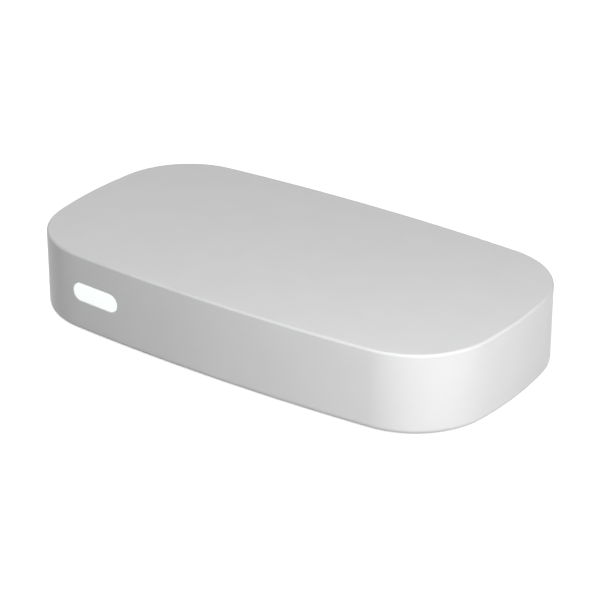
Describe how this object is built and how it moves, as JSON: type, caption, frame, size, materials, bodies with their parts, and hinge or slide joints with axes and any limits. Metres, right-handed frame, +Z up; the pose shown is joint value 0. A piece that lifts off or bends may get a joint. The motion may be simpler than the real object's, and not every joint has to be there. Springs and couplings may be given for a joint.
{
  "type": "video capture box",
  "caption": "Pocket video capture box: pale pill-like moulded case with bowed sides, a lit status window in front, video and data sockets at the rear, and rubber feet.",
  "frame": {"origin": "centre of the case in plan, on the plane of the soles of the feet", "axes": "+X along the length, to the right seen from the front; -Y to the front wall with the lit window; +Y to the rear wall with the sockets; +Z up"},
  "size_m": [0.114, 0.0604, 0.0191],
  "materials": {
    "case_plastic": "fine even moulded texture, satin matte",
    "foot_rubber": "matte rubber",
    "screw_steel": "zinc plated",
    "light_window": "milky clear lens, lit white from inside",
    "gasket_foam": "closed-cell foam",
    "lamp_resin": "phosphor resin in a white body",
    "board_laminate": "solder mask over glass laminate",
    "socket_shell_metal": "nickel plated sheet",
    "socket_insulator": "black moulded resin",
    "contact_gold": "gold flash",
    "chip_resin": "black moulding compound",
    "thermal_pad_silicone": "soft filled silicone",
    "sink_aluminium": "plain extruded",
    "shield_metal": "tin plated sheet",
    "inductor_ferrite": "moulded ferrite",
    "capacitor_can": "drawn can",
    "chip_ceramic": "fired ceramic with tinned ends",
    "resistor_ceramic": "glass coated ceramic with tinned ends"
  },
  "bodies": {
    "root": {"top_cover": "case_plastic", "base_plate": "case_plastic", "rubber_feet": "foot_rubber", "case_screws": "screw_steel", "board_screws": "screw_steel", "light_pipe": "light_window", "light_gasket": "gasket_foam", "status_lamps": "lamp_resin", "main_board": "board_laminate", "video_in_shell": "socket_shell_metal", "video_out_shell": "socket_shell_metal", "data_shell": "socket_shell_metal", "data_mid_plate": "socket_shell_metal", "video_in_insulator": "socket_insulator", "video_out_insulator": "socket_insulator", "data_insulator": "socket_insulator", "video_in_contacts": "contact_gold", "video_out_contacts": "contact_gold", "data_contacts": "contact_gold", "capture_processor": "chip_resin", "memory_chip": "chip_resin", "flash_chip": "chip_resin", "data_bridge_chip": "chip_resin", "video_splitter_chip": "chip_resin", "surge_arrays": "chip_resin", "power_regulators": "chip_resin", "thermal_pad": "thermal_pad_silicone", "heat_sink": "sink_aluminium", "shield_frame": "shield_metal", "shield_lid": "shield_metal", "crystals": "shield_metal", "power_inductors": "inductor_ferrite", "bulk_capacitors": "capacitor_can", "bypass_capacitors": "chip_ceramic", "line_resistors": "resistor_ceramic"}
  },
  "joints": []
}
